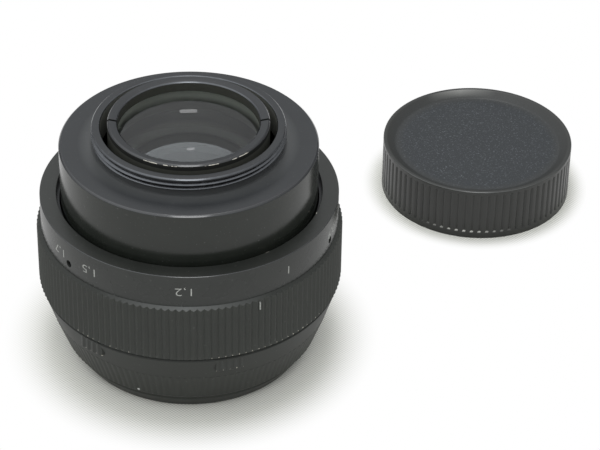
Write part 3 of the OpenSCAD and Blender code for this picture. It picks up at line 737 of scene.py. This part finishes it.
def thread_ring(*finishes):
    """Mount thread of 1 mm pitch on a ring with a relief groove at its foot, painted paler there as painted light in
    its shade, and a plain land at its rear end. Finishes: the ring, the rubbed crests and edges, and the bore, whose
    paler lacquer paints light into the gap behind the glass ring."""
    root = THREAD_R - THREAD_DEPTH
    land_r = THREAD_R - LAND_CUT
    land = THREAD_END - THREAD_PITCH / 2
    bm = turned([
        (THREAD_BORE, PLATE_Z, 0), (THREAD_R, PLATE_Z, 0), (THREAD_R, FLANGE_Z, 0.05), (root, FLANGE_Z, 0),
        (root, land - THREAD_EDGE, 0), (land_r, land, 0), (land_r, THREAD_END - THREAD_EDGE, 0.05),
        (land_r - THREAD_EDGE, THREAD_END, 0.05), (THREAD_BORE + BORE_EDGE, THREAD_END, 0.05),
        (THREAD_BORE, THREAD_END - BORE_EDGE, 0.05)
    ])
    ridge = helix_ridge(root, THREAD_R, FLANGE_Z + RELIEF, land)
    ridge.transform(Matrix.Rotation(radians(THREAD_START), 4, "Z"))
    joined(bm, ridge)
    groove = bm.verts.layers.float.new("groove")
    for vert in bm.verts:
        # Painted light: the foot of the ring is painted paler, where it lies in shade
        vert[groove] = THREAD_BASE_LIGHT if vert.co.z < FLANGE_Z + SKIN else 0
    finish_bevels(bm, 1, FLANGE_Z + THREAD_RUB, THREAD_END, land_r - THREAD_EDGE)
    for face in bm.faces:
        spot = face.calc_center_median()
        if axis_gap(spot) > THREAD_R - CREST_HALF and spot.z > FLANGE_Z:
            face.material_index = 1
    # The bore takes a paler lacquer, as painted light in the gap behind the glass ring
    finish_walls(bm, 2, 0, THREAD_BORE + NEAR)
    finish_bevels(bm, 1, THREAD_END - THREAD_EDGE, THREAD_END, side=-1)
    return piece(bm, "thread_ring", "mount", finishes, "black_anodised", "mount_thread_ring")


def glass_ring(*finishes):
    """Ring that holds the rear glass. Two thin slots take a spanner, and its outer edge has lost its black. Finishes:
    the rear face, the outer wall, black as painted shade in the gap round the ring, the outer bevel, the bore, paler as
    painted light, and the chamfer inside."""
    head = REAR_END - RING_HEAD
    inner = REAR_END - RING_SLOPE
    bm = turned([
        (RING_BORE_R, RING_FOOT, 0), (RING_THREAD_R, RING_FOOT, 0), (RING_THREAD_R, head, 0), (RING_R, head, 0),
        (RING_R, REAR_END - EDGE, 0.08), (RING_R - EDGE / 2, REAR_END - EDGE / 2, 0), (RING_R - EDGE, REAR_END, 0.08),
        (RING_BORE_R + CHAMFER_W, inner + CHAMFER_UP, 0.04), (RING_BORE_R, inner - CHAMFER_DOWN, 0.04)
    ])
    for direction in (SPANNER_DIR, SPANNER_DIR + 180):
        bm = carved(bm, block(direction, RING_BORE_R - OVERCUT, RING_R + OVERCUT, REAR_END - SPANNER_DEPTH,
                              REAR_END + OVERCUT, SPANNER_W))
    chips_and_glints = bm.verts.layers.float.new("chips_and_glints")
    for vert in bm.verts:
        marked = axis_gap(vert.co) > RING_R - RING_WORN_IN and vert.co.z > REAR_END - EDGE - RING_WORN_DOWN
        vert[chips_and_glints] = RING_CHIPS if marked and within(vert.co, RING_WEAR) else 0
    # The outer wall takes black lacquer, as painted shade in the gap round the ring
    finish_walls(bm, 1)
    # The bore takes a paler lacquer, as painted light
    finish_walls(bm, 3, 0, RING_BORE_R + SKIN)
    finish_bevels(bm, 4, inner - 2 * CHAMFER_DOWN, inner + CHAMFER_UP, side=-1)
    finish_bevels(bm, 2, REAR_END - EDGE, REAR_END, RING_R - EDGE)
    return piece(bm, "glass_ring", "barrel", finishes, "black_anodised", "rear_retaining_ring")


def dished(r_max, vertex, radius):
    """Half section of a spherical glass face from the axis outwards. A negative radius falls away outwards."""
    side = 1 if radius > 0 else -1
    steps = [r_max * i / GLASS_ROWS for i in range(GLASS_ROWS + 1)]
    return [(r, vertex + side * sag(abs(radius), r), 0) for r in steps]


def rear_glass(*finishes):
    """Cemented rear group, as one glass. Its front face stands for the cemented face that mirrors the room. Finishes:
    the glass, its painted rim and the dense glass of the front face."""
    r, low, _ = reach("rear_triplet_front")
    high = reach("rear_triplet_rear")[2]
    front = dished(r, low + REAR_STEP + sag(REAR_FRONT_R, r), -REAR_FRONT_R)
    rear = dished(r, high, -REAR_FACE_R)
    bm = turned(front + rear[::-1])
    finish_walls(bm, 1)
    for face in bm.faces:
        if face.normal.z < -WALL_RISE:
            face.material_index = 2
    return piece(bm, "rear_glass", "barrel", finishes, "coated_glass", "rear_triplet_front", "rear_triplet_middle",
                 "rear_triplet_rear")


def front_glass(*finishes):
    """Cemented front group, as one glass, with a deep hollow in front of the iris and a blackened rim."""
    r, low, _ = reach("front_triplet_crown")
    high = reach("front_triplet_flint")[2]
    hollow = dished(HOLLOW_R, high - sag(HOLLOW_FACE_R, HOLLOW_R), HOLLOW_FACE_R)
    bm = turned(dished(r, low, CROWN_FACE_R) + [(r, high, 0)] + hollow[::-1])
    finish_walls(bm, 1)
    return piece(bm, "front_group_glass", "barrel", finishes, "coated_glass", "front_triplet_crown",
                 "front_triplet_filler", "front_triplet_flint")


def first_glass(*finishes):
    """Front element with a blackened rim."""
    r, low, high = reach("front_element")
    bm = turned(dished(r, low, FIRST_FACE_R) + dished(r, high - sag(FIRST_REAR_R, r), FIRST_REAR_R)[::-1])
    finish_walls(bm, 1)
    return piece(bm, "first_glass", "barrel", finishes, "coated_glass", "front_element")


def aperture_knurl(*finishes):
    """Tapered ring with a fine knurl along the cone, and the skirt that runs under the preset ring."""
    bm = turned([
        (SKIRT_BORE, APERTURE_Z, 0), (APERTURE_FRONT_R - EDGE, APERTURE_Z, 0),
        (APERTURE_FRONT_R, APERTURE_Z + EDGE, 0), (APERTURE_R, APERTURE_END - FINE_EDGE, 0),
        (APERTURE_R - FINE_EDGE, APERTURE_END, 0), (SKIRT_R + LEDGE_LOOP, APERTURE_END, 0),
        (SKIRT_R, APERTURE_END, 0), (SKIRT_R, SKIRT_END, 0), (SKIRT_BORE, SKIRT_END, 0)
    ], FINE_TEETH * TOOTH_STEPS)
    for vert in bm.verts:
        r = axis_gap(vert.co)
        if vert.co.z > APERTURE_Z + NEAR and r > SKIRT_R + SKIN:
            set_radius(vert, r - FINE_DEPTH * tooth(vert.co, FINE_TEETH))
    return piece(bm, "aperture_knurl", "aperture", finishes, "black_anodised", "aperture_ring")


def knurled_pad(direction):
    """Short stretch of the focusing knurl that stands out of the preset ring's cone. Near-white paint at the front ends
    of its grooves stands for glints.
    """
    half = pi / GRIP_TEETH * PAD_TEETH
    foot = HOOD_BORE + PAD_SUNK
    low, high = PRESET_END - PAD_LEN, PRESET_END - EDGE / 2
    section = [(foot, low), (PAD_R - PAD_EDGE, low), (PAD_R, low + PAD_EDGE), (PAD_R, low + PAD_LOOP), (PAD_R, high),
               (foot, high)]
    bm = bmesh.new()
    bm.faces.new([bm.verts.new((r * cos(half), -r * sin(half), z)) for r, z in section])
    bmesh.ops.spin(bm, geom=bm.verts[:] + bm.edges[:] + bm.faces[:], cent=(0, 0, 0), axis=(0, 0, 1), angle=2 * half,
                   steps=PAD_TEETH * TOOTH_STEPS)
    chips_and_glints = bm.verts.layers.float.new("chips_and_glints")
    groove = bm.verts.layers.float.new("groove")
    for vert in bm.verts:
        r = axis_gap(vert.co)
        share = tooth(vert.co, GRIP_TEETH, PAD_TEETH / 2)
        if r > foot + NEAR:
            inwards = (half - abs(atan2(vert.co.y, vert.co.x))) / half
            rise = max(PAD_END, min(1, inwards * PAD_TEETH))
            set_radius(vert, foot + (r - PAD_DEPTH * share - foot) * rise)
            # Painted glints: near-white at the front ends of the grooves
            marked = min(share, rise) > GROOVE_FOOT and vert.co.z < low + PAD_LOOP / 2
            vert[chips_and_glints] = KNURL_GLINT_STRENGTH if marked else 0
            # Paler at the foot of each groove: dust, which also lifts the groove's shade
            vert[groove] = share
    bmesh.ops.recalc_face_normals(bm, faces=bm.faces[:])
    bm.transform(Matrix.Rotation(radians(direction), 4, "Z"))
    return bm


def preset_band(*finishes):
    """Smooth tapered ring with four knurled pads. It runs close behind the aperture ring's ledge."""
    ledge = APERTURE_END + LEDGE_GAP
    bm = turned([
        (PRESET_BORE, ledge, 0), (PRESET_FRONT_R, ledge, 0), (PRESET_REAR_R, PRESET_END - EDGE, 0.05),
        (PRESET_REAR_R - EDGE, PRESET_END, 0.05), (HOOD_BORE, PRESET_END, 0), (HOOD_BORE, SKIRT_END, 0),
        (PRESET_BORE, SKIRT_END, 0)
    ])
    bm.verts.layers.float.new("chips_and_glints")
    bm.verts.layers.float.new("groove")
    for direction in PAD_DIRS:
        joined(bm, knurled_pad(direction))
    return piece(bm, "preset_band", "preset", finishes, "black_anodised", "preset_ring")


def front_rim(*finishes):
    bm = turned([
        (FILTER_R, 0, 0.1), (RIM_FRONT_R - EDGE, 0, 0.1), (RIM_FRONT_R, EDGE, 0.1), (RIM_R, RIM_END - RIM_LAND, 0.1),
        (RIM_R, RIM_END, 0.05), (FILTER_R, RIM_END, 0)
    ])
    return piece(bm, "front_rim", "barrel", finishes, "black_anodised", "filter_ring")


def ribbed_cap(*finishes):
    """Screw-on cap. Its side grooves stop short of the plain foot and brow, and its grained top is sunk inside a rim.
    Painted glints mark the lower ends of some grooves, and a painted sheen the back of the rim's slope. Finishes: the
    cap and its polished outer edge."""
    lip = CAP_H - CAP_RECESS
    rim = CAP_R - CAP_RIM
    slope = rim - CAP_SLOPE
    bm = turned([
        (CAP_BORE, 0, 0.1), (CAP_R, 0, 0), (CAP_R, CAP_FOOT, 0), (CAP_R, CAP_FOOT + CAP_GROOVE, 0),
        (CAP_R, CAP_FOOT + 2 * CAP_GROOVE, 0), (CAP_R, CAP_H - CAP_BROW - CAP_GROOVE, 0), (CAP_R, CAP_H - CAP_BROW, 0),
        (CAP_R, CAP_H, 0.3), (rim, CAP_H, 0.3), (slope, lip, 0.4), (slope - CAP_FADE / 2, lip, 0),
        (slope - CAP_FADE, lip, 0), (0, lip, 0), (0, lip - CAP_FLOOR, 0), (CAP_BORE, lip - CAP_FLOOR, 0.3)
    ], CAP_RIBS * TOOTH_STEPS)
    low, high = CAP_FOOT + CAP_GROOVE / 2, CAP_H - CAP_BROW - CAP_GROOVE / 2
    grained = bm.verts.layers.float.new("grained")
    painted_glint_and_sheen = bm.verts.layers.float.new("painted_glint_and_sheen")
    for vert in bm.verts:
        r, z = axis_gap(vert.co), vert.co.z
        if r > CAP_R - NEAR and low < z < high:
            share = max(0, (1 + CAP_LAND) * tooth(vert.co, CAP_RIBS) - CAP_LAND)
            set_radius(vert, r - CAP_GROOVE * share)
            # Painted glint at the lower end of the groove
            if share > CAP_GLINT_DEPTH and z < low + CAP_GROOVE:
                vert[painted_glint_and_sheen] = near_to(vert.co, *CAP_GLINTS)
        # Painted sheen on the back of the rim's slope
        elif slope + CAP_FADE / 2 < r < rim + SKIN and z > lip:
            vert[painted_glint_and_sheen] = CAP_SHEEN_STRENGTH * near_to(vert.co, *CAP_SHEEN)
        fade = (slope + CAP_FADE / 2 - r) / (1.5 * CAP_FADE)
        vert[grained] = min(1, max(0, fade)) if z > lip - 2 * SKIN else 0
    finish_bevels(bm, 1, CAP_H - CAP_EDGE, CAP_H, CAP_R - CAP_EDGE)
    bm.transform(Matrix.Translation((CAP_AXIS.x, CAP_AXIS.y, 0)))
    return piece(bm, "ribbed_cap", "cap", finishes, "cap_plastic", "rear_cap")


def look_outwards(bm):
    """Make each shell of an upright extrusion look outwards, since recalc_face_normals can turn a comma inside out."""
    bmesh.ops.recalc_face_normals(bm, faces=bm.faces[:])
    bm.normal_update()
    rest = set(bm.faces)
    while rest:
        shell, fresh = set(), {rest.pop()}
        while fresh:
            shell |= fresh
            fresh = {near for face in fresh for edge in face.edges for near in edge.link_faces} - shell
        rest -= shell
        if sum(face.calc_center_median().z * face.normal.z * face.calc_area() for face in shell) < 0:
            bmesh.ops.reverse_faces(bm, faces=list(shell))


def figure(text, direction, height, radius, size, name, body, finish, slope=0):
    """Paint-filled figure laid round a cylinder or a cone, with its foot towards the mount."""
    curve = bpy.data.curves.new(name, "FONT")
    curve.body = text
    curve.size = FONT_SIZE * size
    curve.align_x = "CENTER"
    curve.align_y = "CENTER"
    curve.offset = -STROKE_CUT * size
    curve.extrude = PAINT_OUT
    curve.resolution_u = 4
    writing = bpy.data.objects.new(name, curve)
    mesh = bpy.data.meshes.new_from_object(writing)
    bpy.data.objects.remove(writing)
    bm = bmesh.new()
    bm.from_mesh(mesh)
    bpy.data.meshes.remove(mesh)
    bmesh.ops.remove_doubles(bm, verts=bm.verts[:], dist=WELD)
    look_outwards(bm)
    for vert in bm.verts:
        x, y, out = vert.co
        turn = radians(direction) - FIGURE_STRETCH * x / radius
        r = radius - slope * y + out
        vert.co = Vector((r * cos(turn), r * sin(turn), height - y))
    return piece(bm, name, body, [finish], "black_anodised")


def figure_direction(distance):
    """Direction of a distance figure: the helicoid's turn from infinity, by the thin lens rule."""
    if distance == inf:
        return FAR_DIR
    image = (distance - sqrt(distance * distance - 4 * FOCAL * distance)) / 2
    return FAR_DIR + (image - FOCAL) / LEAD * 360


def stop_turn(stop):
    """Turn of the aperture ring that closes the iris to an f-number: each blade swings half as far as the ring."""
    hole = OPEN_HOLE / stop
    return degrees(4 * asin((IRIS_R - hole) / (2 * IRIS_PIVOT_R)))


def mount_line(direction, length, width, name, finish):
    """Paint-filled line on the mount, from the height of the index towards the rear."""
    bm = block(direction, MOUNT_R - PAINT_IN, MOUNT_R + PAINT_OUT, INDEX_Z, INDEX_Z + length, width)
    return piece(bm, name, "mount", [finish], "satin_anodised")


def paint_dot(direction, r, z, radius, name, body, finish):
    """Low round drop of paint."""
    bm = bmesh.new()
    low = Matrix.Diagonal((DROP_RISE, 1, 1, 1))
    bmesh.ops.create_uvsphere(bm, u_segments=16, v_segments=8, radius=radius, matrix=out_along(direction, r, z) @ low)
    return piece(bm, name, body, [finish], "black_anodised")


def floor_cloth():
    """White cotton on a table: a fine weave, which the shadows close to the object bring out. Away from the object
    the camera, mirrors and glass see plain white."""
    material, place = new_material("white_cotton")
    threads = add(material, "ShaderNodeMapping", {0: place, 3: [2 * pi / THREAD_SPACING / MM] * 3})
    split = add(material, "ShaderNodeSeparateXYZ", {0: threads.outputs[0]})
    over, under = [add(material, "ShaderNodeMath", {0: split.outputs[axis]}, operation="SINE").outputs[0]
                   for axis in "XY"]
    weave = spread(material, combine(material, "MULTIPLY", over, under), -1, 1)
    tone = blend(material, weave, "#cdcdc5", "#fafaf2")
    shade(material, {"Base Color": tone, "Roughness": 0.9, "Specular IOR Level": 0.1})
    clear = []
    for axis, near, far in (((0, 0, 0), *LENS_SHADOW), (CAP_AXIS * MM, *CAP_SHADOW)):
        gap = add(material, "ShaderNodeVectorMath", {0: place, 1: (axis[0], axis[1], 0)}, operation="DISTANCE")
        clear.append(add(material, "ShaderNodeMapRange", {0: gap.outputs["Value"], 1: near * MM, 2: far * MM},
                         interpolation_type="SMOOTHSTEP").outputs[0])
    path = add(material, "ShaderNodeLightPath").outputs
    mirrored = combine(material, "MAXIMUM", path["Is Glossy Ray"], path["Is Transmission Ray"])
    seen = combine(material, "MAXIMUM", path["Is Camera Ray"], mirrored)
    white = combine(material, "MULTIPLY", combine(material, "MULTIPLY", *clear), seen)
    glow = add(material, "ShaderNodeEmission", {"Strength": 1})
    nodes = material.node_tree.nodes
    surface = add(material, "ShaderNodeMixShader", {0: white, 1: nodes["Principled BSDF"].outputs[0],
                                                    2: glow.outputs[0]})
    feed(material, nodes["Material Output"], {"Surface": surface.outputs[0]})
    return material


def stage():
    """Table top, 6 metres wide."""
    bm = bmesh.new()
    bmesh.ops.create_grid(bm, x_segments=1, y_segments=1, size=3)
    mesh = bpy.data.meshes.new("table")
    bm.to_mesh(mesh)
    bm.free()
    mesh.materials.append(floor_cloth())
    table = bpy.data.objects.new("table", mesh)
    bpy.context.scene.collection.objects.link(table)


def lamp(name, place, aim, width, depth, power):
    """Rectangular lamp: places and sizes in metres, power in watts."""
    light = bpy.data.lights.new(name, "AREA")
    light.shape = "RECTANGLE"
    light.size = width
    light.size_y = depth
    light.energy = power
    obj = bpy.data.objects.new(name, light)
    obj.location = place
    obj.rotation_euler = (Vector(aim) - Vector(place)).to_track_quat("-Z", "Y").to_euler()
    bpy.context.scene.collection.objects.link(obj)


def lights():
    """White room that is brightest overhead and on the left, a softbox above the camera, a lamp high behind the
    object, and two far windows, which show in the glass."""
    world = bpy.data.worlds.new("soft_room")
    world.use_nodes = True
    bpy.context.scene.world = world
    way = add(world, "ShaderNodeTexCoord").outputs["Generated"]
    split = add(world, "ShaderNodeSeparateXYZ", {0: way})
    overhead = spread(world, split.outputs["Z"], 0, 1, 0.1, 1.55)
    side = spread(world, split.outputs["X"], -1, 1, 1.38, 0.66)
    feed(world, world.node_tree.nodes["Background"],
         {"Color": linear("#f6f8fa"), "Strength": combine(world, "MULTIPLY", overhead, side)})
    middle = (0.02, 0.01, 0.03)
    lamp("front_softbox", (0.04, -0.78, 1.04), middle, 0.5, 0.35, 2.1)
    lamp("overhead_lamp", (0, 0.35, 1.15), middle, 0.35, 0.25, 1.2)
    lamp("window", (-0.05, 0.95, 0.58), middle, 0.034, 0.02, 0.005)
    lamp("small_window", (-0.045, 0.95, 0.835), middle, 0.018, 0.013, 0.0021)


def camera():
    data = bpy.data.cameras.new("camera")
    data.sensor_width = SENSOR_W
    data.lens = FOCAL_PX / IMAGE_W * SENSOR_W
    data.clip_end = 20
    obj = bpy.data.objects.new("camera", data)
    place = Matrix.Translation(Vector(CAMERA_PLACE) * MM)
    aim = Matrix.Rotation(radians(90 - CAMERA_TILT), 4, "X") @ Matrix.Rotation(radians(CAMERA_ROLL), 4, "Z")
    obj.matrix_world = place @ aim
    bpy.context.scene.collection.objects.link(obj)
    bpy.context.scene.camera = obj


camera()
stage()
lights()

ring_black = anodised("black_anodised_turned", "#2a2c2a", "#343634", 0.27, 1.4)
knurl_black = anodised("black_anodised_knurled", "#313330", "#3a3c39", 0.55, 1.33)
front_black = anodised("black_anodised_front_rings", "#292b28", "#323431", 0.5, 1.36)
sleeve_black = anodised("black_anodised_satin", "#26282a", "#2f3133", 0.38, 1.42)
wall_black = anodised("black_anodised_smooth", "#1e211d", "#282b27", 0.19, 1.44)
# Darker anodised for the lip's rear face: painted shade at the foot of the mount barrel
lip_painted_shade = anodised("black_anodised_lip_painted_shade", "#232522", "#2c2e2b", 0.34, 1.45)
edge_satin = anodised("black_anodised_edge", "#1a1c1f", "#242629", 0.15, 1.75)
edge_gleam = rubbed_edge()
white_paint = engraving_paint()
glass = coated_glass("coated_glass", 1.43)
dense_glass = coated_glass("coated_dense_glass", 1.55)
rim_grey = ground_rim()
# Black lacquer inside, also painted shade on the glass ring's outer wall
inner_black = lacquer("cell_lacquer", "#1d1e1c", "#252624")
# Paler lacquers on the bores of the glass ring and the thread ring: painted light
ring_bore_painted_light = lacquer("ring_bore_lacquer_painted_light", "#383932", "#444540")
thread_bore_painted_light = lacquer("thread_bore_lacquer_painted_light", "#5c5d57", "#6a6b65")
# Grey of the rear cell where it shows in the gap: painted light
cell_grey = cell_paint()
screw_steel = steel("turned_steel", "#8f9092", 0.35)
dark_steel = steel("blackened_spring_steel", "#2a2a2c", 0.4)
cap_black = phenolic()
cap_edge = phenolic_edge()

# Finishes of the solids that are kept
slot_finishes = {"coated_glass": glass, "screw_steel": screw_steel, "blade_steel": dark_steel,
                 "cap_plastic": cap_black, "satin_anodised": sleeve_black, "black_anodised": inner_black}
for subpart in frame["record"]["subparts"]:
    solid = frame["nodes"][subpart["node"]]
    solid.data.materials.clear()
    kept = cell_grey if subpart["node"] == "rear_cell" else slot_finishes[subpart["material_slot"]]
    solid.data.materials.append(kept)

glass_ring(sleeve_black, inner_black, edge_satin, ring_bore_painted_light, edge_gleam)
rear_glass(glass, rim_grey, dense_glass)
front_glass(dense_glass, inner_black)
first_glass(glass, inner_black)
thread_ring(sleeve_black, edge_gleam, thread_bore_painted_light)
mount_sleeve(sleeve_black, edge_satin, wall_black)
lock_screw(dark_steel)
scale_band(ring_black, edge_satin, lip_painted_shade)
set_screws(dark_steel)
focus_knurl(knurl_black)
preset_band(front_black)
aperture_knurl(front_black)
front_rim(front_black)
ribbed_cap(cap_black, cap_edge)

# Distance figures, and the marks on the focusing knurl and the aperture ring that the photograph shows
for number, (text, distance) in enumerate(FIGURES):
    figure(text, figure_direction(distance), FIGURE_Z, SCALE_R, FIGURE_H, f"distance_figure_{number}", "focus",
           white_paint)
piece(block(*GRIP_MARK), "grip_mark", "focus", [white_paint], "black_anodised")
paint_dot(*APERTURE_DOT, "aperture_dot", "aperture", white_paint)

# Distance index and depth scale on the mount, and f-numbers on the preset ring, with their index
mount_line(FAR_DIR, INDEX_LEN, INDEX_W, "distance_index", white_paint)
for stop in DEPTH_STOPS:
    for side, end in ((-1, "near"), (1, "far")):
        direction = FAR_DIR + side * stop * DEPTH_TURN
        label = f"depth_{stop}_{end}"
        mount_line(direction, DEPTH_LEN, DEPTH_W, label + "_line", white_paint)
        figure(str(stop), direction, INDEX_Z + 2 * DEPTH_LEN, MOUNT_R, SMALL_FIGURE_H, label, "mount", white_paint)
preset_slope = (PRESET_REAR_R - PRESET_FRONT_R) / (PRESET_END - EDGE - APERTURE_END)
stop_r = PRESET_FRONT_R + preset_slope * (STOP_Z - APERTURE_END)
for stop in STOPS:
    figure(f"{stop:g}", STOP_DIR + stop_turn(stop), STOP_Z, stop_r, SMALL_FIGURE_H, f"stop_{stop:g}", "preset",
           white_paint, preset_slope)
paint_dot(*STOP_INDEX, "stop_index", "aperture", white_paint)

bpy.context.scene.view_settings.view_transform = "Standard"
